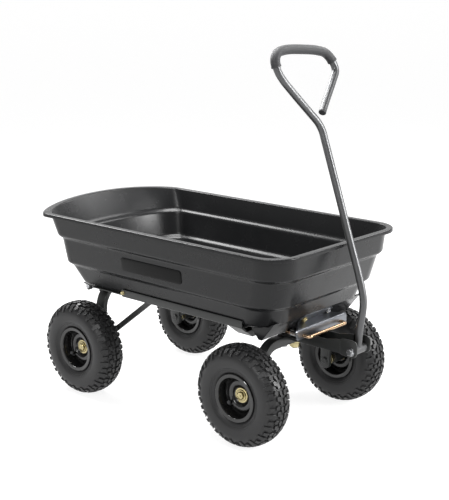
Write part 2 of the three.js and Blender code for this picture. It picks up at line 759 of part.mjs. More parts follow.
// ---------------------------------------------------------------- handle
// The D-loop lies in the plane of the upper shaft and the Y axis.
const LOOP_FOOT = new THREE.Vector3(627.5, 0, 726);
const SHAFT_DIRECTION = new THREE.Vector3(-0.3176, 0, 0.9482);
const inLoop = (up, across) => {
  const point = LOOP_FOOT.clone().addScaledVector(SHAFT_DIRECTION, up);
  return new THREE.Vector3(point.x, across, point.z);
};
const SHAFT_STOPS = [[740, 233], [743, 282], [751, 345], [746, 381], [699, 519], [643, 680]];
const LOOP_STOPS = [
  [0, -1],
  [22, -2],
  [42, -10],
  [66, -30],
  [101, -61],
  [128, -84],
  [149, -101],
  [172, -113],
  [196, -114],
  [213, -101],
  [220, -70],
  [218, 6],
  [213, 55],
  [205, 84],
  [184, 103],
  [162, 107],
  [139, 88],
  [93, 42],
  [67, 17],
];
const handleRoute = new THREE.CatmullRomCurve3(
  [
    ...SHAFT_STOPS.map(([x, z]) => new THREE.Vector3(x, 0, z)),
    ...LOOP_STOPS.map(([up, across]) => inLoop(up, across)),
  ],
  false,
  "centripetal",
);
const ROUTE_STEPS = 64;
const GRIP_STEPS = [41, 57]; // the sleeved part of the loop, in route steps

const crossTube = cut(
  barY(HANDLE_PIVOT.x, HANDLE_PIVOT.z, 11, -25.4, 25.4),
  barY(HANDLE_PIVOT.x, HANDLE_PIVOT.z, 6.6, -27, 27, 12),
);
const handleTube = union(
  cut(
    swept(handleRoute, HANDLE_RADIUS, ROUTE_STEPS, 8),
    barY(HANDLE_PIVOT.x, HANDLE_PIVOT.z, 8, -27, 27, 12),
  ),
  crossTube,
);
add(model, "handle_tube", handleTube, "satinTube");

const stations = handleRoute.getSpacedPoints(ROUTE_STEPS);
const gripRoute = new THREE.CurvePath();
for (let i = GRIP_STEPS[0]; i < GRIP_STEPS[1]; i++) {
  gripRoute.add(new THREE.LineCurve3(stations[i], stations[i + 1]));
}
const gripCount = GRIP_STEPS[1] - GRIP_STEPS[0];
const gripBody = cut(
  swept(gripRoute, GRIP_RADIUS, gripCount, 8),
  swept(handleRoute, HANDLE_RADIUS + 0.4, ROUTE_STEPS, 8),
);
add(model, "handle_grip", gripBody, "gripVinyl");

const routeEnd = stations.at(-1);
const endDirection = routeEnd.clone().sub(stations.at(-2)).normalize();
const plugLine = new THREE.LineCurve3(
  routeEnd.clone().addScaledVector(endDirection, CLEARANCE),
  routeEnd.clone().addScaledVector(endDirection, 5),
);
add(model, "handle_end_plug", swept(plugLine, 9.4, 1, 12), "gripVinyl");

const pivotBolt = union(
  barY(HANDLE_PIVOT.x, HANDLE_PIVOT.z, 6, -38, 35, 12),
  barY(HANDLE_PIVOT.x, HANDLE_PIVOT.z, 10.5, -36.5, -30.4, 6),
  barY(HANDLE_PIVOT.x, HANDLE_PIVOT.z, 10.5, 30.4, 37, 6),
);
add(model, "handle_pivot_bolt", pivotBolt, "whiteZinc");

// ---------------------------------------------------------------- origin
// The origin is on the ground under the middle of the overall length.
const bounds = new THREE.Box3().setFromObject(model);
model.position.x = -(bounds.min.x + bounds.max.x) / 2;

export default cart;
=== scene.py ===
import json
import math

import bmesh
import bpy
from mathutils import Matrix, Vector


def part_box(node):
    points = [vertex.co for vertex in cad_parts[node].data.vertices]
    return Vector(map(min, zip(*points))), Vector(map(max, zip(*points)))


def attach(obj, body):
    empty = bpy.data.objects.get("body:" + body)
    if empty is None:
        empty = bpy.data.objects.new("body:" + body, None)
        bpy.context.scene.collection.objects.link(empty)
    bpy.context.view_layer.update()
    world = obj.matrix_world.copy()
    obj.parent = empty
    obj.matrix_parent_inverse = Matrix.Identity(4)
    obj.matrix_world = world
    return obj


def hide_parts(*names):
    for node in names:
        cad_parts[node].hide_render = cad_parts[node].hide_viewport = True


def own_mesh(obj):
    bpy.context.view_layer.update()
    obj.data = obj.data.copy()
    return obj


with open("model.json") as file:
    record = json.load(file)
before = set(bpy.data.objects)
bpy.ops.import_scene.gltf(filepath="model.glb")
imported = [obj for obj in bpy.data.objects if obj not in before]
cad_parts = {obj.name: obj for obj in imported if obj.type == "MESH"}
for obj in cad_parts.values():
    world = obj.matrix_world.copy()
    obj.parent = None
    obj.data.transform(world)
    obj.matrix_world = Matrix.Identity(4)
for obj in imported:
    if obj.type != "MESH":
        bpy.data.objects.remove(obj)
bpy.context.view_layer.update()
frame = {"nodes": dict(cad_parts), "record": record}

MM = 0.001
PI = math.pi

# ------------------------------------------------------------------ reference points
# Millimetre coordinates below start at the rear axle, the mid-plane and the ground.
low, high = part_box("rear_right_axle_bolt")
REAR_AXLE_X = (low.x + high.x) / 2 / MM
WHEELBASE = 551
WHEEL_RADIUS = 127
REAR_HALF_TRACK = 215
FRONT_HALF_TRACK = 202
WHEELS = {
    "rear_right": (0, -REAR_HALF_TRACK),
    "rear_left": (0, REAR_HALF_TRACK),
    "front_right": (WHEELBASE, -FRONT_HALF_TRACK),
    "front_left": (WHEELBASE, FRONT_HALF_TRACK),
}
LEG_TO_WHEEL = 60  # from the leg's outer face to the middle of the wheel
LEG_THICKNESS = 14
LATCH_Z = 263
LATCH_PIN_Y = 76
HINGE_AXIS_X, HINGE_AXIS_Z = -25, 282
HANDLE_AXIS_X, HANDLE_AXIS_Z = 740, 233
OUT = Vector((0, 1, 0))
UP = Vector((0, 0, 1))


def at(x, y, z):
    """A millimetre point from the rear axle, as a point of the frame in metres."""
    return Vector(((x + REAR_AXLE_X) * MM, y * MM, z * MM))


# ------------------------------------------------------------------ materials
COAT_ROUGHNESS = 0.12
COARSE_SCALE = 18
BUMP_DEPTH = 0.0002
LEAST_ROUGHNESS = 0.02


def nodes_of(material):
    tree = material.node_tree
    return tree.nodes, tree.links


def surface(name, colour, roughness, metallic=0.0, coat=0.0, variation=0.1,
            grain=900.0, bump=0.05, rough_spread=0.08, specular=0.5):
    """A principled surface whose colour, roughness and normal vary with fine noise."""
    material = bpy.data.materials.new(name)
    material.use_nodes = True
    nodes, links = nodes_of(material)
    shader = nodes["Principled BSDF"]
    shader.inputs["Base Color"].default_value = (*colour, 1)
    shader.inputs["Roughness"].default_value = roughness
    shader.inputs["Metallic"].default_value = metallic
    shader.inputs["Coat Weight"].default_value = coat
    shader.inputs["Coat Roughness"].default_value = COAT_ROUGHNESS
    shader.inputs["Specular IOR Level"].default_value = specular
    coordinates = nodes.new("ShaderNodeTexCoord")
    coarse = nodes.new("ShaderNodeTexNoise")
    coarse.inputs["Scale"].default_value = COARSE_SCALE
    coarse.inputs["Detail"].default_value = 6
    links.new(coordinates.outputs["Object"], coarse.inputs["Vector"])
    shade = nodes.new("ShaderNodeMix")
    shade.data_type = "RGBA"
    shade.inputs["A"].default_value = (*[c * (1 - variation) for c in colour], 1)
    shade.inputs["B"].default_value = (*[c * (1 + variation) for c in colour], 1)
    links.new(coarse.outputs["Fac"], shade.inputs["Factor"])
    links.new(shade.outputs["Result"], shader.inputs["Base Color"])
    spread = nodes.new("ShaderNodeMapRange")
    spread.inputs["To Min"].default_value = max(roughness - rough_spread, LEAST_ROUGHNESS)
    spread.inputs["To Max"].default_value = roughness + rough_spread
    links.new(coarse.outputs["Fac"], spread.inputs["Value"])
    links.new(spread.outputs["Result"], shader.inputs["Roughness"])
    fine = nodes.new("ShaderNodeTexNoise")
    fine.inputs["Scale"].default_value = grain
    fine.inputs["Detail"].default_value = 2
    links.new(coordinates.outputs["Object"], fine.inputs["Vector"])
    relief = nodes.new("ShaderNodeBump")
    relief.inputs["Strength"].default_value = bump
    relief.inputs["Distance"].default_value = BUMP_DEPTH
    links.new(fine.outputs["Fac"], relief.inputs["Height"])
    links.new(relief.outputs["Normal"], shader.inputs["Normal"])
    return material


LOOKS = {
    "tub_poly": surface("tub_poly", (0.009, 0.0092, 0.0097), 0.26, bump=0.25, grain=700,
                        specular=0.24, variation=0.15),
    "frame_coat": surface("frame_coat", (0.021, 0.022, 0.0215), 0.32, bump=0.15, grain=500,
                          specular=0.40),
    "tyre_rubber": surface("tyre_rubber", (0.017, 0.017, 0.0175), 0.42, bump=0.3, grain=600,
                           variation=0.3, rough_spread=0.12, specular=0.34),
    "rim_coat": surface("rim_coat", (0.008, 0.008, 0.008), 0.13, specular=0.5, coat=0.1),
    "yellow_zinc": surface("yellow_zinc", (0.44, 0.38, 0.21), 0.26, metallic=1, variation=0.3),
    "white_zinc": surface("white_zinc", (0.36, 0.365, 0.375), 0.26, metallic=1, variation=0.25),
    "galvanised": surface("galvanised", (0.19, 0.197, 0.212), 0.32, metallic=1, variation=0.25),
    "copper_rod": surface("copper_rod", (0.50, 0.34, 0.21), 0.27, metallic=1, variation=0.2),
    "satin_tube": surface("satin_tube", (0.098, 0.099, 0.101), 0.38, metallic=0.85),
    "grip_vinyl": surface("grip_vinyl", (0.022, 0.0225, 0.024), 0.58, bump=0.4, grain=400,
                          specular=0.4),
    "plate_gloss": surface("plate_gloss", (0.003, 0.003, 0.003), 0.15, specular=0.12),
}
for part in frame["record"]["subparts"]:
    slots = frame["nodes"][part["node"]].data.materials
    slots.clear()
    slots.append(LOOKS[part["material_slot"]])


# ------------------------------------------------------------------ building pieces
WELD_DISTANCE = 1e-7
BEVEL_ANGLE = 40.0


def mesh_object(name, points, faces, smooth_angle=35.0):
    mesh = bpy.data.meshes.new(name)
    mesh.from_pydata([tuple(p) for p in points], [], faces)
    piece = bpy.data.objects.new(name, mesh)
    bpy.context.scene.collection.objects.link(piece)
    work = bmesh.new()
    work.from_mesh(mesh)
    bmesh.ops.remove_doubles(work, verts=work.verts, dist=WELD_DISTANCE)
    bmesh.ops.recalc_face_normals(work, faces=work.faces)
    work.to_mesh(mesh)
    work.free()
    soften(piece, smooth_angle)
    return piece


def soften(piece, angle=35.0):
    piece.data.shade_smooth()
    piece.data.set_sharp_from_angle(angle=math.radians(angle))


def applied(piece, kind, **settings):
    """Adds a modifier and bakes it into the piece's mesh."""
    modifier = piece.modifiers.new(kind.lower(), kind)
    for key, value in settings.items():
        setattr(modifier, key, value)
    graph = bpy.context.evaluated_depsgraph_get()
    baked = bpy.data.meshes.new_from_object(piece.evaluated_get(graph))
    piece.modifiers.clear()
    piece.data = baked
    return piece


def bevelled(piece, width, segments=3):
    applied(piece, "BEVEL", width=width * MM, segments=segments,
            limit_method="ANGLE", angle_limit=math.radians(BEVEL_ANGLE))
    soften(piece)
    return piece


def joined(name, *pieces):
    """One piece out of several that have no surface yet."""
    points, faces = [], []
    for piece in pieces:
        start = len(points)
        points += [piece.matrix_world @ v.co for v in piece.data.vertices]
        faces += [[start + i for i in face.vertices] for face in piece.data.polygons]
        bpy.data.objects.remove(piece)
    mesh = bpy.data.meshes.new(name)
    mesh.from_pydata(points, [], faces)
    whole = bpy.data.objects.new(name, mesh)
    bpy.context.scene.collection.objects.link(whole)
    soften(whole)
    return whole


def place(piece, body, look, *nodes):
    """Gives a piece its surface and its CAD body, and hides the nodes it stands for."""
    piece.data.materials.clear()
    piece.data.materials.append(LOOKS[look])
    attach(piece, body)
    if nodes:
        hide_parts(*nodes)
    return piece


def eased(node, width, look, body):
    """A CAD node's shape with its edges softly rounded, standing in for it."""
    source = frame["nodes"][node]
    piece = bpy.data.objects.new(f"{node}_eased", source.data.copy())
    piece.matrix_world = source.matrix_world.copy()
    bpy.context.scene.collection.objects.link(piece)
    applied(piece, "DECIMATE", decimate_type="DISSOLVE", angle_limit=math.radians(2))
    bevelled(piece, width, 2)
    return place(piece, body, look, node)


def lathe(name, profile, centre, axis=OUT, steps=64, closed=True):
    """A turned piece from [radius, distance along the axis] points."""
    axis = axis.normalized()
    side = axis.orthogonal().normalized()
    if abs(axis.z) < 0.9:
        side = Vector((0, 0, 1)).cross(axis).normalized()
    other = axis.cross(side)
    points, faces = [], []
    count = len(profile)
    for k in range(steps):
        angle = 2 * PI * k / steps
        spoke = side * math.cos(angle) + other * math.sin(angle)
        points += [centre + (spoke * r + axis * d) * MM for r, d in profile]
    for k in range(steps):
        here, there = k * count, (k + 1) % steps * count
        for i in range(count if closed else count - 1):
            j = (i + 1) % count
            faces.append((here + i, here + j, there + j, there + i))
    return mesh_object(name, points, faces)


def rounded(corners, steps=6):
    """Rounds the corners of a polygon of (u, v, radius) points; no radius, no rounding."""
    points = []
    for i, corner in enumerate(corners):
        here = Vector(corner[:2])
        radius = corner[2] if len(corner) > 2 else 0
        if not radius:
            points.append(here)
            continue
        back = (Vector(corners[i - 1][:2]) - here).normalized()
        ahead = (Vector(corners[(i + 1) % len(corners)][:2]) - here).normalized()
        half = math.acos(max(-1.0, min(1.0, back.dot(ahead)))) / 2
        centre = here + (back + ahead).normalized() * radius / math.sin(half)
        reach = radius / math.tan(half)
        start = here + back * reach - centre
        end = here + ahead * reach - centre
        turn = math.atan2(start.x * end.y - start.y * end.x, start.dot(end))
        for k in range(steps + 1):
            spoke = start.copy()
            spoke.rotate(Matrix.Rotation(turn * k / steps, 2))
            points.append(centre + spoke)
    return points


def prism(name, outline, axis, low_end, high_end, bevel=0.6):
    """An outline swept along an axis; its points are (y, z), (x, z) or (x, y)."""
    def point(p, d):
        if axis == "x":
            return at(d, p[0], p[1])
        if axis == "y":
            return at(p[0], d, p[1])
        return at(p[0], p[1], d)

    count = len(outline)
    points = [point(p, low_end) for p in outline] + [point(p, high_end) for p in outline]
    faces = [tuple(range(count)), tuple(range(count, 2 * count))]
    faces += [(i, (i + 1) % count, (i + 1) % count + count, i + count) for i in range(count)]
    piece = mesh_object(name, points, faces)
    return bevelled(piece, bevel) if bevel else piece


def bar(name, points, radius, sides=20):
    """A round bar with flat ends, swept along frame points by parallel transport."""
    ring_points, faces = [], []
    tangent = (points[1] - points[0]).normalized()
    normal = tangent.orthogonal().normalized()
    for i, centre in enumerate(points):
        before = points[max(i - 1, 0)]
        after = points[min(i + 1, len(points) - 1)]
        ahead = (after - before).normalized()
        normal.rotate(tangent.rotation_difference(ahead))
        tangent = ahead
        other = tangent.cross(normal)
        for k in range(sides):
            angle = 2 * PI * k / sides
            spoke = normal * math.cos(angle) + other * math.sin(angle)
            ring_points.append(centre + spoke * radius * MM)
    for i in range(len(points) - 1):
        for k in range(sides):
            j = (k + 1) % sides
            faces.append((i * sides + k, i * sides + j, (i + 1) * sides + j, (i + 1) * sides + k))
    faces.append(tuple(range(sides)))
    faces.append(tuple(range((len(points) - 1) * sides, len(points) * sides)))
    return mesh_object(name, ring_points, faces, 50)


def bent_line(stops, steps=8):
    """Straight runs joined by smooth bends, through (point, bend reach) pairs."""
    path = [stops[0][0]]
    for i in range(1, len(stops) - 1):
        corner, reach = stops[i]
        back = (stops[i - 1][0] - corner).normalized() * reach * MM
        ahead = (stops[i + 1][0] - corner).normalized() * reach * MM
        for k in range(steps + 1):
            t = k / steps
            path.append(corner + back * (1 - t) ** 2 + ahead * t ** 2)
    path.append(stops[-1][0])
    return path


def hexagon(name, centre, axis, across, height, dish):
    """A hexagon head or nut with chamfered corners, seated at centre along axis."""
    corner = across / math.sqrt(3)
    flat = [(corner * 0.0001, 0), (corner, 0), (corner, height - 1.2), (corner * 0.88, height),
            (corner * 0.45, height), (corner * 0.0001, height - dish)]
    piece = lathe(name, flat, centre, axis, steps=6, closed=False)
    return bevelled(piece, 0.3, 2)


def bolt_head(name, centre, axis, across, height, washer, washer_thickness=1.6):
    """A hex head on a washer."""
    seat = [(0.01, 0), (washer - 0.5, 0), (washer, 0.4), (washer, washer_thickness - 0.4),
            (washer - 0.5, washer_thickness), (0.01, washer_thickness)]
    under = lathe(name + "_w", seat, centre, axis, steps=40, closed=False)
    top = centre + axis.normalized() * washer_thickness * MM
    head = hexagon(name + "_h", top, axis, across, height, 0.8)
    return joined(name, under, head)


# ------------------------------------------------------------------ tyres
SECTION = {"half": 39.6, "middle": 89.0, "up": 33.2, "down": 38.0, "power": 2.35}
BEAD_DROP = 29  # how far below the section's middle the carcass meets the rim
MOULD_LINES = ((70, 0.5), (74, 0.35))  # radius and how far each line stands out
FADE_FROM, FADE_RATE = 0.6, 3  # the shoulder lugs sink into the sidewall beyond this share


def section_point(t):
    """A point (side, radius) of the tyre's carcass; t = 0 sidewall, pi/2 crown."""
    power = 2 / SECTION["power"]
    c, s = math.cos(t), math.sin(t)
    side = SECTION["half"] * math.copysign(abs(c) ** power, c)
    reach = SECTION["up"] if s > 0 else SECTION["down"]
    return side, SECTION["middle"] + reach * math.copysign(abs(s) ** power, s)


TREAD_BLOCKS = [
    # corners as (share of the pitch, share of the way from crown to sidewall)
    [(0.04, 0.03), (0.34, 0.03), (0.42, 0.14), (0.60, 0.16), (0.56, 0.27), (0.30, 0.26),
     (0.24, 0.15), (0.02, 0.13)],
    [(0.50, 0.02), (0.84, 0.02), (0.92, 0.12), (0.72, 0.13), (0.64, 0.10), (0.50, 0.09)],
    [(0.72, 0.19), (0.98, 0.16), (1.00, 0.28), (0.84, 0.35), (0.70, 0.30)],
    [(0.06, 0.33), (0.40, 0.33), (0.46, 0.46), (0.38, 0.74), (0.16, 0.74), (0.12, 0.46),
     (0.02, 0.43)],
    [(0.60, 0.37), (0.74, 0.41), (0.90, 0.38), (0.90, 0.60), (0.64, 0.60)],
]
PITCHES = 21
BLOCK_HEIGHT = 4.6


def tread_point(angle, share, height):
    """A point of the tread in wheel coordinates; share runs from -1 to 1 across it."""
    t = PI / 2 - share * PI / 2
    side, radius = section_point(t)
    ahead = section_point(t + 0.01)
    back = section_point(t - 0.01)
    tangent = Vector((ahead[0] - back[0], ahead[1] - back[1])).normalized()
    normal = Vector((tangent.y, -tangent.x))
    if normal.y < 0:
        normal.negate()
    side += normal.x * height
    radius += normal.y * height
    return Vector((radius * math.sin(angle), side, radius * math.cos(angle)))


def tyre_mesh():
    steps, around = 56, 180
    start = math.asin(-((BEAD_DROP / SECTION["down"]) ** (SECTION["power"] / 2)))
    outer = [section_point(start + (PI - 2 * start) * i / steps) for i in range(steps + 1)]
    bead = [(-27.5, 56), (-26, 53), (26, 53), (27.5, 56)]
    profile = [(r, y) for y, r in outer + bead]
    carcass = lathe("tyre_carcass", profile, Vector(), steps=around)
    points, faces = [], []
    pitch = 2 * PI / PITCHES
    layers = ((-0.6, 1.05), (BLOCK_HEIGHT - 0.5, 0.97), (BLOCK_HEIGHT, 0.90))
    for k in range(PITCHES):
        for side, shift in ((1, 0.0), (-1, 0.5)):
            for block in TREAD_BLOCKS:
                first = len(points)
                n = len(block)
                middle = Vector((sum(u for u, _ in block) / n, sum(v for _, v in block) / n))
                for height, scale in layers:
                    for u, v in block:
                        p = middle + (Vector((u, v)) - middle) * scale
                        fade = 1.0 if p.y < FADE_FROM else 1.0 - (p.y - FADE_FROM) * FADE_RATE
                        lift = height * fade if height > 0 else height
                        angle = (k + shift + p.x) * pitch
                        points.append(tread_point(angle, side * p.y, lift) * MM)
                for ring in (0, 1):
                    a = first + ring * n
                    for i in range(n):
                        j = (i + 1) % n
                        faces.append((a + i, a + j, a + n + j, a + n + i))
                faces.append(tuple(first + 2 * n + i for i in range(n)))
                faces.append(tuple(first + i for i in reversed(range(n))))
    blocks = mesh_object("tyre_blocks", points, faces, 25)
    # thin mould lines on the sidewalls
    lines = []
    for side in (1, -1):
        for radius, out in MOULD_LINES:
            drop = (SECTION["middle"] - radius) / SECTION["down"]
            t = math.asin(-(drop ** (SECTION["power"] / 2)))
            y, r = section_point(t)
            ring = [(r - 0.7, side * (y - 1)), (r - 0.5, side * (y + out)),
                    (r + 0.5, side * (y + out + 0.3)), (r + 0.9, side * (y - 1))]
            lines.append(lathe("mould_line", ring, Vector(), steps=120))
    whole = joined("tyre_pattern", carcass, blocks, *lines)
    soften(whole, 30)
    mesh = whole.data
    bpy.data.objects.remove(whole)
    return mesh


def rim_halves():
    """Both pressed halves: rolled lips, deep barrel and a bulged disc."""
    outer = [(51.0, 0.4), (51.4, 29.4), (54, 30.4), (58.5, 31.2), (60.2, 32.4), (60.2, 33.4),
             (58.8, 34.4), (55.5, 34.0), (51.0, 33.0), (49.6, 31.0), (49.0, 27.0),
             (48.7, 12.0), (48.2, 5.0), (46.6, 3.2), (44.6, 3.4), (43.0, 5.4), (41.0, 9.0),
             (38.6, 10.9), (35.0, 11.7), (29.0, 11.5), (26.0, 10.4), (24.0, 7.6), (22.4, 4.0),
             (20.8, 2.8), (18.2, 2.6), (18.2, 0.4)]
    halves = []
    for side in (1, -1):
        profile = [(r, side * y) for r, y in outer]
        halves.append(lathe("rim_half", profile, Vector(), steps=96))
    return halves


def wheel_matrix(name):
    x, y = WHEELS[name]
    turn = Matrix.Rotation(0 if y > 0 else PI, 4, "Z")
    return Matrix.Translation(at(x, y, WHEEL_RADIUS)) @ turn


def finish_wheel_piece(piece, name, body, look, *nodes):
    piece.matrix_world = wheel_matrix(name)
    return place(piece, body, look, *nodes)


tyre_shape = tyre_mesh()
STEM_ANGLE = math.radians(128)
for wheel in WHEELS:
    body = f"{wheel}_wheel"
    tyre = bpy.data.objects.new(f"{wheel}_tyre_tread", tyre_shape.copy())
    bpy.context.scene.collection.objects.link(tyre)
    finish_wheel_piece(tyre, wheel, body, "tyre_rubber", f"{wheel}_tyre")
    for half, side in zip(rim_halves(), ("outer", "inner")):
        half.name = f"{wheel}_rim_{side}_pressing"
        finish_wheel_piece(half, wheel, body, "rim_coat", f"{wheel}_rim_{side}")
    tube = lathe(f"{wheel}_hub_sleeve", [(14.4, -46), (16.6, -46), (17, -45.5), (17, 2),
                                         (16.6, 2.5), (14.4, 2.5)], Vector())
    finish_wheel_piece(tube, wheel, body, "frame_coat", f"{wheel}_hub_tube")
    # valve stem leaning out of the barrel, with a cap
    reach = Vector((math.sin(STEM_ANGLE), 0, math.cos(STEM_ANGLE)))
    foot = reach * 44 + OUT * 6
    tip = reach * 27 + OUT * 27
    stem_line = tip - foot
    stem = bar("stem", [foot * MM, tip * MM], 3.4, 16)
    cap_ends = [(foot + stem_line * 0.62) * MM, (tip + stem_line * 0.06) * MM]
    cap = bar("cap", cap_ends, 4.3, 12)
    grommet_ends = [(foot - stem_line * 0.05) * MM, (foot + stem_line * 0.16) * MM]
    grommet = bar("grommet", grommet_ends, 6.5, 20)
    valve = joined(f"{wheel}_valve_stem", stem, cap, grommet)
    bevelled(valve, 0.6, 2)
    finish_wheel_piece(valve, wheel, body, "grip_vinyl")

    fixed = "frame" if wheel.startswith("rear") else "front_axle"
    flange = lathe("flange", [(0.01, 3.0), (18.4, 3.0), (19, 3.5), (19, 5.1), (18.4, 5.7),
                              (14.6, 5.7), (14.2, 7.6), (13.2, 8.2), (11.6, 8.0), (11.2, 6.6),
                              (0.01, 6.6)], Vector(), closed=False)
    shaft = lathe("shaft", [(0.01, -74), (8, -74), (8, 4), (0.01, 4)], Vector(), closed=False,
                  steps=32)
    head = hexagon("head", OUT * 6.4 * MM, OUT, 17.5, 5.0, 1.4)
    bolt = joined(f"{wheel}_axle_bolt_turned", flange, shaft, head)
    finish_wheel_piece(bolt, wheel, fixed, "yellow_zinc", f"{wheel}_axle_bolt")
    nut = bolt_head("nut", OUT * (0.3 - LEG_TO_WHEEL) * MM, OUT, 23.4, 9.3, 15.5, 2.2)
    nut.name = f"{wheel}_axle_nut_turned"
    finish_wheel_piece(nut, wheel, fixed, "yellow_zinc", f"{wheel}_axle_nut")
    # the painted end of the bolt stands proud of the leg's inner face
    bolt_end = lathe(f"{wheel}_axle_bolt_end", [(0.01, -73.8), (8.1, -73.8), (8.1, -77.2),
                                                (7.3, -78), (0.01, -78)], Vector(),
                     closed=False, steps=32)
    finish_wheel_piece(bolt_end, wheel, fixed, "frame_coat")


# ------------------------------------------------------------------ arches
def arch(name, x, width, half, top, bottom, shoulder, depth, inner_radius, end_radius):
    """A flat band bent over the axle: two legs and a crosspiece of the given depth."""
    inner = half - LEG_THICKNESS
    outline = rounded([
        (-half, bottom), (-half, top, shoulder), (half, top, shoulder), (half, bottom),
        (inner, bottom), (inner, top - depth, inner_radius), (-inner, top - depth, inner_radius),
        (-inner, bottom),
    ], 16)
    piece = prism(name, outline, "x", x - width / 2, x + width / 2, 0)
    # the legs' lower ends are rounded as seen from the side
    r = width / 2
    keep = rounded([(x - r, bottom, end_radius), (x + r, bottom, end_radius),
                    (x + r, top + 5), (x - r, top + 5)], 10)
    mask = prism("mask", keep, "y", -half - 5, half + 5, 0)
    applied(piece, "BOOLEAN", object=mask, operation="INTERSECT", solver="EXACT")
    bpy.data.objects.remove(mask)
    return bevelled(piece, 1.6, 3)


place(arch("rear_arch_band", 0, 30, 155, 290.7, 104, 70, LEG_THICKNESS, 58, 14.7), "frame",
      "frame_coat", "rear_axle_arch")
place(arch("front_arch_band", WHEELBASE, 26, 142, 239, 105, 58, 24, 40, 9), "front_axle",
      "frame_coat", "front_axle_arch")

# ------------------------------------------------------------------ frame
RAIL_IN, RAIL_OUT = 170, 204.5
RAIL_LOW, RAIL_TOP = 291, 311
SHEET = 3
for name, side in (("right", -1), ("left", 1)):
    flange = rounded([
        (RAIL_IN * side, RAIL_LOW), (RAIL_OUT * side, RAIL_LOW, 3.4), (RAIL_OUT * side, RAIL_TOP),
        ((RAIL_OUT - SHEET) * side, RAIL_TOP), ((RAIL_OUT - SHEET) * side, RAIL_LOW + SHEET, 0.6),
        (RAIL_IN * side, RAIL_LOW + SHEET),
    ], 5)
    steel = [prism("angle", flange, "x", 140, 548)]
    # behind the angle the rail narrows in two steps to a tail over the rear arch
    for outer, start, end in ((195, 20, 140.5), (182, -33, 20.5)):
        strip = [(RAIL_IN * side, RAIL_LOW), (outer * side, RAIL_LOW),
                 (outer * side, RAIL_LOW + SHEET), (RAIL_IN * side, RAIL_LOW + SHEET)]
        steel.append(prism("strip", strip, "x", start, end))
    lug_line = rounded([(-33, 292), (-33, 272, 7.5), (-17, 272, 7.5), (-17, 292)], 8)
    steel.append(prism("lug", lug_line, "y", RAIL_IN * side, (RAIL_IN + SHEET) * side, 0.5))
    place(joined(f"{name}_rail_angle", *steel), "frame", "frame_coat", f"{name}_rail")
    end_bolt = bolt_head("end_bolt", at(144, 204.2 * side, 302.5), Vector((0, side, 0)),
                         9, 3.4, 5.6, 1.2)
    end_bolt.name = f"{name}_rail_end_bolt"
    place(end_bolt, "frame", "yellow_zinc")
    eased(f"{name}_brace", 0.8, "frame_coat", "frame")
    eased(f"{name}_hinge_bracket", 0.5, "white_zinc", "tub_body")

eased("front_cross_member", 0.7, "frame_coat", "frame")
eased("rear_cross_member", 0.7, "frame_coat", "frame")
pivot = lathe("tub_pivot_shaft", [(0.01, -175.2), (5.6, -175.2), (6.4, -174.6), (6.4, -173.3),
                                  (5, -173.3), (5, 173.3), (6.4, 173.3), (6.4, 174.6),
                                  (5.6, 175.2), (0.01, 175.2)],
              at(HINGE_AXIS_X, 0, HINGE_AXIS_Z), closed=False, steps=28)
place(pivot, "frame", "white_zinc", "tub_pivot_rod")

# ------------------------------------------------------------------ tub
TUB_WALL = 4
LEVELS = [
    # height, half width, rear end, front end
    (297, 193, -52, 617),
    (303, 198, -58, 625),
    (348, 213, -90, 641),
    (355, 222, -102, 654),
    (421, 229, -121, 671),
    (428, 237, -131, 681),
    (483, 242, -161, 685),
]
LIP_TOP, LIP_BOTTOM = 487, 478
TUB_BOTTOM = LEVELS[0][0]
CROWN_FROM, CROWN_RISE = 428, 14  # the rear lip arches up above this level
CORNER_RADIUS = 75
REAR_DEPTH = 54  # how deep the rounded rear end is
FOOT_X, FOOT_Z = 587, 264.5  # the lower front edge of the moulded ridge
RIDGE_HALF = 178


def filleted(profile, reach):
    """Softens a profile's corners; a row's last value, if not 0, is its own reach."""
    out = [profile[0]]
    for before, here, after in zip(profile, profile[1:], profile[2:]):
        r = here[-1] if here[-1] else reach
        for other in (before, after):
            gap = math.hypot(other[0] - here[0], other[1] - here[1])
            r = min(r, gap * 0.45)
        ends = []
        for other in (before, after):
            gap = math.hypot(other[0] - here[0], other[1] - here[1])
            ends.append([h + (o - h) * r / gap for h, o in zip(here, other)])
        for k in range(5):
            t = k / 4
            out.append([a * (1 - t) ** 2 + 2 * h * t * (1 - t) + b * t * t
                        for a, h, b in zip(ends[0], here, ends[1])])
    out.append(profile[-1])
    return out


def tub_ring(z, half, rear, front, corner):
    """One level of the tub: a bowed, rounded rear end and two front corners."""
    rise = max(0.0, (z - TUB_BOTTOM) / (LIP_TOP - TUB_BOTTOM))
    bow = 10 + 26 * rise
    crown = CROWN_RISE * max(0.0, (z - CROWN_FROM) / (LIP_TOP - CROWN_FROM))
    ring = []
    steps = 72
    for i in range(steps + 1):
        angle = -PI / 2 + PI * i / steps
        s, c = math.sin(angle), math.cos(angle)
        across = math.copysign(abs(s) ** (2 / 3), s)
        along = abs(c) ** (2 / 3)
        flat = 1 - across * across
        x = rear + bow * (1 - flat) + REAR_DEPTH * (1 - along)
        ring.append((x, half * across, z + crown * flat))
    corner_steps = 14
    for side in (1, -1):
        for i in range(corner_steps + 1):
            share = 1 - i / corner_steps if side > 0 else i / corner_steps
            angle = PI / 2 * share
            x = front - corner * (1 - math.cos(angle))
            ring.append((x, side * (half - corner * (1 - math.sin(angle))), z))
    return ring


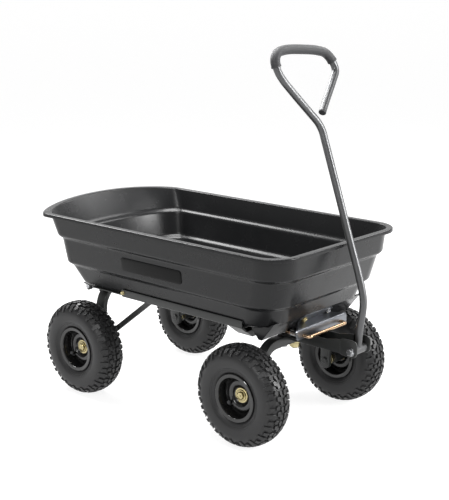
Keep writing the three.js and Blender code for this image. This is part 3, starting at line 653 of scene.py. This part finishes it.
def tub_body():
    corner = CORNER_RADIUS
    profile = [(z, half, rear, front, corner, 0) for z, half, rear, front in LEVELS]
    profile += [
        (LIP_TOP - 4, 254, -172, 693, corner - 3, 1),
        (LIP_BOTTOM, 254, -172, 693, corner - 3, 0.5),
        (LIP_BOTTOM, 257, -175, 696, corner, 0.8),
        (LIP_TOP, 257, -175, 696, corner, 2.6),
        (LIP_TOP, 240, -158.5, 679.5, corner - 16, 2.6),
    ]
    for z, half, rear, front in reversed(LEVELS[1:-1]):
        profile.append((z + 2, half - TUB_WALL, rear + TUB_WALL, front - TUB_WALL,
                        corner - TUB_WALL, 0))
    z, half, rear, front = LEVELS[0]
    profile.append((z + TUB_WALL, half - 5, rear + 5, front - 5, corner - 5, 0))
    rings = [tub_ring(*row[:5]) for row in filleted(profile, 5.0)]
    count = len(rings[0])
    points = [at(*p) for ring in rings for p in ring]
    faces = []
    for k in range(len(rings) - 1):
        for i in range(count):
            j = (i + 1) % count
            faces.append((k * count + i, k * count + j, (k + 1) * count + j, (k + 1) * count + i))
    faces.append(tuple(range(count)))
    last = (len(rings) - 1) * count
    faces.append(tuple(range(last, last + count)))
    return mesh_object("tub_shell", points, faces, 40)


shell = tub_body()
ahead_of_ridge = [(FOOT_X, FOOT_Z), (640, FOOT_Z), (640, 309), (622.5, 309)]
undercut = prism("undercut", ahead_of_ridge, "y", -RIDGE_HALF, RIDGE_HALF, 0)
applied(shell, "BOOLEAN", object=undercut, operation="DIFFERENCE", solver="EXACT")
bpy.data.objects.remove(undercut)
ridge_line = [(547, 298), (577, FOOT_Z), (FOOT_X, FOOT_Z), (622.5, 309), (619, 311),
              (606, 302), (560, 299)]
ridge = prism("ridge", ridge_line, "y", -RIDGE_HALF, RIDGE_HALF, 1.5)
for side in (1, -1):
    y = LATCH_PIN_Y * side
    slit = [(y - 7, 250), (y + 7, 250), (y + 7, 270), (y - 7, 270)]
    groove = prism("groove", slit, "x", 560, 604, 0)
    applied(ridge, "BOOLEAN", object=groove, operation="DIFFERENCE", solver="EXACT")
    bpy.data.objects.remove(groove)
tub = joined("tub_moulding", shell, ridge)
soften(tub, 40)
place(tub, "tub_body", "tub_poly", "tub")

# the blank plate lies on the wall between the fourth and fifth levels
(tier_z, tier_half, *_), (next_z, next_half, *_) = LEVELS[3:5]
lean = math.atan2(next_half - tier_half, next_z - tier_z)
plate_z = 388.5
wall = tier_half + (plate_z - tier_z) * math.tan(lean)
plate_line = rounded([(-105, -17.5, 8), (105, -17.5, 8), (105, 17.5, 8), (-105, 17.5, 8)], 8)
plate = prism("name_plate", plate_line, "z", 0, 1.6, 0.5)
inset = rounded([(-102, -14.8, 6), (102, -14.8, 6), (102, 14.8, 6), (-102, 14.8, 6)], 8)
raised = prism("plate_field", inset, "z", 1.5, 1.9, 0.2)
plate = joined("blank_side_plate", plate, raised)
shift = Matrix.Translation(-Vector((REAR_AXLE_X * MM, 0, 0)))
tilt = Matrix.Rotation(PI / 2 + lean, 4, "X")
seat = Vector((0, -math.cos(lean), -math.sin(lean))) * 0.3 * MM
plate.matrix_world = Matrix.Translation(at(268, -wall, plate_z) + seat) @ tilt @ shift
place(plate, "tub_body", "plate_gloss", "label_plate")

# ------------------------------------------------------------------ latch
FACE = Vector((35.5, 44.5)).normalized()
FACE_OUT = Vector((FACE.y, -FACE.x))
BRACKET_HALF, BRACKET_WIDE_HALF = 64, 103
BRACKET_SHEET = 2.9


def on_face(z, out):
    """The (x, z) point at a height on the ridge's sloping face, moved out from it."""
    along = (z - FOOT_Z) / FACE.y
    return Vector((FOOT_X, FOOT_Z)) + FACE * along + FACE_OUT * out


def latch_bracket():
    """A bent sheet that widens over its shelf and turns down into a flange."""
    mid = 1.8
    stops = [on_face(306, mid), on_face(285.5, mid), Vector((631, 277.5)), Vector((633, 256))]
    path = [stops[0]]
    for before, here, after in zip(stops, stops[1:], stops[2:]):
        for k in range(7):
            t = k / 6
            back = (before - here).normalized() * 3
            ahead = (after - here).normalized() * 3
            path.append(here + back * (1 - t) ** 2 + ahead * t * t)
    path.append(stops[-1])
    fine = []
    for a, b in zip(path, path[1:]):
        pieces = max(1, int((b - a).length / 1.5))
        fine += [a + (b - a) * k / pieces for k in range(pieces)]
    fine.append(path[-1])
    total = sum((b - a).length for a, b in zip(fine, fine[1:]))
    upper = (stops[1] - stops[0]).length
    shelf = upper + (stops[2] - stops[1]).length
    run, points, faces = 0.0, [], []
    columns = 30
    for i, p in enumerate(fine):
        if i:
            run += (p - fine[i - 1]).length
        if run < upper:
            half = BRACKET_HALF - max(0, 10 - run) ** 2 * 0.1
        elif run < shelf:
            share = min(1, (run - upper) / (shelf - upper) * 1.1)
            half = BRACKET_HALF + (BRACKET_WIDE_HALF - BRACKET_HALF) * share
        else:
            half = BRACKET_WIDE_HALF - max(0, run - total + 6) ** 2 * 0.12
        for c in range(columns + 1):
            y = half * (2 * c / columns - 1)
            points.append(at(p.x, y, p.y))
    for i in range(len(fine) - 1):
        for c in range(columns):
            a = i * (columns + 1) + c
            faces.append((a, a + 1, a + columns + 2, a + columns + 1))
    sheet = mesh_object("latch_plate", points, faces)
    applied(sheet, "SOLIDIFY", thickness=BRACKET_SHEET * MM, offset=0.0)
    return bevelled(sheet, 0.5, 2)


place(latch_bracket(), "tub_body", "galvanised", "latch_bracket")
for name, side, look in (("right", -1, "yellow_zinc"), ("left", 1, "white_zinc")):
    p = on_face(295, 3.5)
    out = Vector((FACE_OUT.x, 0, FACE_OUT.y))
    bolt = bolt_head(f"{name}_bracket_hex", at(p.x, 48 * side, p.y), out, 11, 4.6, 9, 1.6)
    place(bolt, "tub_body", look, f"{name}_bracket_bolt")

BAR_X, PIN_X = 652, 550
rod_corners = [(PIN_X, -1, 0), (BAR_X, -1, 10), (BAR_X, 1, 10), (PIN_X, 1, 0)]
rod_stops = [(at(x, LATCH_PIN_Y * side, LATCH_Z), reach) for x, side, reach in rod_corners]
rod_line = bent_line(rod_stops, 10)
rod = bar("rod", rod_line, 4.2, 20)
collars = []
for side in (1, -1):
    y = LATCH_PIN_Y * side
    collars.append(bar("collar", [at(592, y, LATCH_Z), at(594, y, LATCH_Z)], 6, 24))
place(joined("latch_pull_rod", rod, *collars), "latch", "copper_rod", "latch_rod")

COIL_TURNS, COIL_STEPS, COIL_RADIUS = 9, 20, 6.2
COIL_START, COIL_END = 595.5, 627.7
for name, side in (("right", -1), ("left", 1)):
    steps = COIL_TURNS * COIL_STEPS
    coil = []
    for k in range(steps + 1):
        angle = 2 * PI * COIL_TURNS * k / steps
        coil.append(at(COIL_START + (COIL_END - COIL_START) * k / steps,
                       LATCH_PIN_Y * side + COIL_RADIUS * math.cos(angle),
                       LATCH_Z + COIL_RADIUS * math.sin(angle)))
    spring = bar(f"{name}_return_spring", coil, 0.8, 8)
    place(spring, "tub_body", "white_zinc", f"{name}_latch_spring")
    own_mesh(spring)

# ------------------------------------------------------------------ tongue
cheek_line = [(564.5, 223), (715, 223), (715, 258), (696, 256), (668, 250), (564.5, 250)]
ear_line = rounded([(708, 221, 4), (757, 217, 15), (757, 262, 13), (708, 262, 7)], 8)
tongue_parts = [
    prism("saddle", rounded([(536, -58, 8), (600, -58, 8), (600, 58, 8), (536, 58, 8)], 6),
          "z", 239.3, 243.3, 0.8),
    lathe("spacer", [(8.6, 0), (16.4, 0), (17, 0.6), (17, 17.8), (16.4, 18.4), (8.6, 18.4)],
          at(WHEELBASE, 0, 243.3), UP),
    prism("web", [(564.5, 223), (715, 223), (715, 226), (564.5, 226)], "y", -28, 28, 0.5),
]
for side in (1, -1):
    tongue_parts.append(prism("cheek", cheek_line, "y", 26 * side, 29 * side, 0.8))
    tongue_parts.append(prism("ear", ear_line, "y", 26 * side, 30 * side, 1.0))
place(joined("tongue_weldment", *tongue_parts), "front_axle", "frame_coat", "tongue")

UNDER_ARCH = 214.7  # where nuts and heads seat below the front arch
for name, side in (("right", -1), ("left", 1)):
    y = 43 * side
    top = bolt_head("top", at(WHEELBASE, y, 243.6), UP, 13, 5.3, 7.4, 1.0)
    under = bolt_head("under", at(WHEELBASE, y, UNDER_ARCH), -UP, 13, 5.4, 7.4, 1.0)
    place(joined(f"{name}_saddle_bolt", top, under), "front_axle", "white_zinc",
          f"{name}_tongue_bolt")

nut = bolt_head("kingpin_lock_nut", at(WHEELBASE, 0, UNDER_ARCH), -UP, 24.2, 14.2, 17, 3.1)
place(nut, "frame", "yellow_zinc", "kingpin_nut")
pin_shaft = lathe("shaft", [(0.01, 0), (7.2, 0), (8, 0.8), (8, 72), (0.01, 72)],
                  at(WHEELBASE, 0, 194), UP, closed=False, steps=32)
pin_head = bolt_head("head", at(WHEELBASE, 0, 265.3), UP, 20, 6.6, 12.3, 1.6)
place(joined("kingpin_hex_bolt", pin_shaft, pin_head), "frame", "white_zinc", "kingpin_bolt")

# ------------------------------------------------------------------ handle
LOOP_FOOT = Vector((627.5, 0, 726))
SHAFT_DIRECTION = Vector((-0.3176, 0, 0.9482))
SHAFT_STOPS = [(HANDLE_AXIS_X, HANDLE_AXIS_Z), (743, 282), (751, 345), (746, 381), (699, 519),
               (643, 680)]
LOOP_STOPS = [(0, -1), (22, -2), (42, -10), (66, -30), (101, -61), (128, -84), (149, -101),
              (172, -113), (196, -114), (213, -101), (220, -70), (218, 6), (213, 55), (205, 84),
              (184, 103), (162, 107), (139, 88), (93, 42), (67, 17)]
GRIP_FROM, GRIP_TO = 41 / 64, 55.4 / 64  # shares of the tube's length under the sleeve


def spline(points, steps):
    """Centripetal Catmull-Rom curve through points, with steps samples per span."""
    first = points[0] * 2 - points[1]
    last = points[-1] * 2 - points[-2]
    padded = [first, *points, last]
    out = []
    for p0, p1, p2, p3 in zip(padded, padded[1:], padded[2:], padded[3:]):
        t1 = (p1 - p0).length ** 0.5
        t2 = t1 + (p2 - p1).length ** 0.5
        t3 = t2 + (p3 - p2).length ** 0.5
        for k in range(steps):
            t = t1 + (t2 - t1) * k / steps
            a1 = p0 * (t1 - t) / t1 + p1 * t / t1
            a2 = p1 * (t2 - t) / (t2 - t1) + p2 * (t - t1) / (t2 - t1)
            a3 = p2 * (t3 - t) / (t3 - t2) + p3 * (t - t2) / (t3 - t2)
            b1 = a1 * (t2 - t) / t2 + a2 * t / t2
            b2 = a2 * (t3 - t) / (t3 - t1) + a3 * (t - t1) / (t3 - t1)
            out.append(b1 * (t2 - t) / (t2 - t1) + b2 * (t - t1) / (t2 - t1))
    out.append(points[-1])
    return out


def in_loop(up, across):
    """A point of the loop's plane, from where the shaft splits into it."""
    p = LOOP_FOOT + SHAFT_DIRECTION * up
    return at(p.x, across, p.z)


HANDLE_AXIS = at(HANDLE_AXIS_X, 0, HANDLE_AXIS_Z)
handle_points = [at(x, 0, z) for x, z in SHAFT_STOPS]
handle_points += [in_loop(*stop) for stop in LOOP_STOPS]
SPAN_STEPS = 8
route = spline(handle_points, SPAN_STEPS)
tube = bar("tube", route, 9, 28)
cross = lathe("cross", [(6.6, -25.4), (10.6, -25.4), (11, -25), (11, 25), (10.6, 25.4),
                        (6.6, 25.4)], HANDLE_AXIS, steps=48)
place(joined("handle_bent_tube", tube, cross), "handle", "satin_tube", "handle_tube")

runs = [0.0]
for a, b in zip(route, route[1:]):
    runs.append(runs[-1] + (b - a).length)
sleeve_line = [p for p, run in zip(route, runs) if GRIP_FROM <= run / runs[-1] <= GRIP_TO]
sleeve = bar("sleeve", sleeve_line, 11.4, 32)
bands = []
for a, b in ((sleeve_line[0], sleeve_line[1]), (sleeve_line[-1], sleeve_line[-2])):
    bands.append(bar("band", [a, a + (b - a).normalized() * 4 * MM], 12, 32))
place(joined("handle_sleeve", sleeve, *bands), "handle", "grip_vinyl", "handle_grip")

end, before = route[-1], route[-2]
tip = (end - before).normalized()
plug = lathe("tube_plug", [(0.01, -4), (8.2, -4), (9.2, 0.3), (9.4, 1.0), (9.2, 3.6), (8, 4.8),
                           (0.01, 5.2)], end, tip, closed=False, steps=32)
place(plug, "handle", "grip_vinyl", "handle_end_plug")

pin = lathe("pin", [(0.01, -38), (5.6, -38), (6, -37.6), (6, 34.6), (5.6, 35), (0.01, 35)],
            HANDLE_AXIS, closed=False, steps=32)
heads = []
for side in (1, -1):
    ear_face = at(HANDLE_AXIS_X, 30.4 * side, HANDLE_AXIS_Z)
    heads.append(bolt_head("pin_head", ear_face, OUT * side, 17, 4.9, 10.4, 1.2))
place(joined("handle_hinge_bolt", pin, *heads), "front_axle", "white_zinc", "handle_pivot_bolt")

# ------------------------------------------------------------------ studio
FLOOR_HALF, FLOOR_THICKNESS = 60000, 20
corners = [(-FLOOR_HALF, -FLOOR_HALF), (FLOOR_HALF, -FLOOR_HALF), (FLOOR_HALF, FLOOR_HALF),
           (-FLOOR_HALF, FLOOR_HALF)]
floor = prism("floor", corners, "z", -FLOOR_THICKNESS, 0, 0)
floor_look = surface("floor_paper", (0.25, 0.25, 0.25), 0.8, variation=0.005, bump=0.0,
                     specular=0.1)
glow = floor_look.node_tree.nodes["Principled BSDF"].inputs
glow["Emission Color"].default_value = (1, 1, 1, 1)
glow["Emission Strength"].default_value = 0.84
floor.data.materials.append(floor_look)

# The white backdrop stands on the far side of the cart; the rest of the room is dimmer.
BACKDROP = Vector((-0.657, 0.754, 0))
world = bpy.data.worlds.new("studio")
world.use_nodes = True
nodes, links = nodes_of(world)
room = nodes["Background"]
direction = nodes.new("ShaderNodeTexCoord")
facing = nodes.new("ShaderNodeVectorMath")
facing.operation = "DOT_PRODUCT"
facing.inputs[1].default_value = BACKDROP
links.new(direction.outputs["Generated"], facing.inputs[0])
fade = nodes.new("ShaderNodeMapRange")
fade.interpolation_type = "SMOOTHSTEP"
fade.inputs["From Min"].default_value = 0.55
fade.inputs["From Max"].default_value = 0.85
fade.inputs["To Min"].default_value = 0.42
fade.inputs["To Max"].default_value = 1.0
links.new(facing.outputs["Value"], fade.inputs["Value"])
links.new(fade.outputs["Result"], room.inputs["Strength"])
room.inputs["Color"].default_value = (1, 1, 1, 1)
bpy.context.scene.world = world
bpy.context.scene.view_settings.view_transform = "Standard"


def softbox(name, where, target, size, power):
    lamp = bpy.data.lights.new(name, "AREA")
    lamp.shape = "RECTANGLE"
    lamp.size, lamp.size_y = size
    lamp.energy = power
    holder = bpy.data.objects.new(name, lamp)
    holder.location = where
    holder.rotation_euler = (Vector(target) - Vector(where)).to_track_quat("-Z", "Y").to_euler()
    bpy.context.scene.collection.objects.link(holder)


softbox("overhead", (-0.3, 0.2, 2.5), (0.1, 0, 0.3), (1.4, 1.0), 90)
softbox("rear_top", (-1.7, 0.1, 2.0), (0.1, 0, 0.4), (1.4, 0.8), 75)
softbox("far_top", (0.6, 1.9, 1.9), (0.1, 0, 0.4), (1.4, 0.7), 28)
softbox("front_fill", (2.6, 1.1, 1.3), (0.1, 0, 0.35), (0.9, 1.4), 100)
softbox("near_strip", (0.9, -2.6, 1.9), (0.1, 0, 0.3), (1.4, 0.4), 35)

# The view stands off the front right corner, about three metres away.
CAMERA_AT = at(2128.66, -2079.76, 1089.11)
CAMERA_ANGLES = (41.09, 13.87, 0.2)  # yaw, pitch and roll in degrees
LENS_MM, SENSOR_MM = 78.54, 36
yaw, pitch, roll = (math.radians(a) for a in CAMERA_ANGLES)
back = Vector((math.sin(yaw) * math.cos(pitch), -math.cos(yaw) * math.cos(pitch), math.sin(pitch)))
right = UP.cross(back).normalized()
up = back.cross(right)
turned_right = right * math.cos(roll) + up * math.sin(roll)
turned_up = up * math.cos(roll) - right * math.sin(roll)
lens = bpy.data.cameras.new("camera")
lens.lens = LENS_MM
lens.sensor_width = SENSOR_MM
camera = bpy.data.objects.new("camera", lens)
turn = Matrix((turned_right, turned_up, back)).transposed().to_4x4()
camera.matrix_world = Matrix.Translation(CAMERA_AT) @ turn
bpy.context.scene.collection.objects.link(camera)
bpy.context.scene.camera = camera
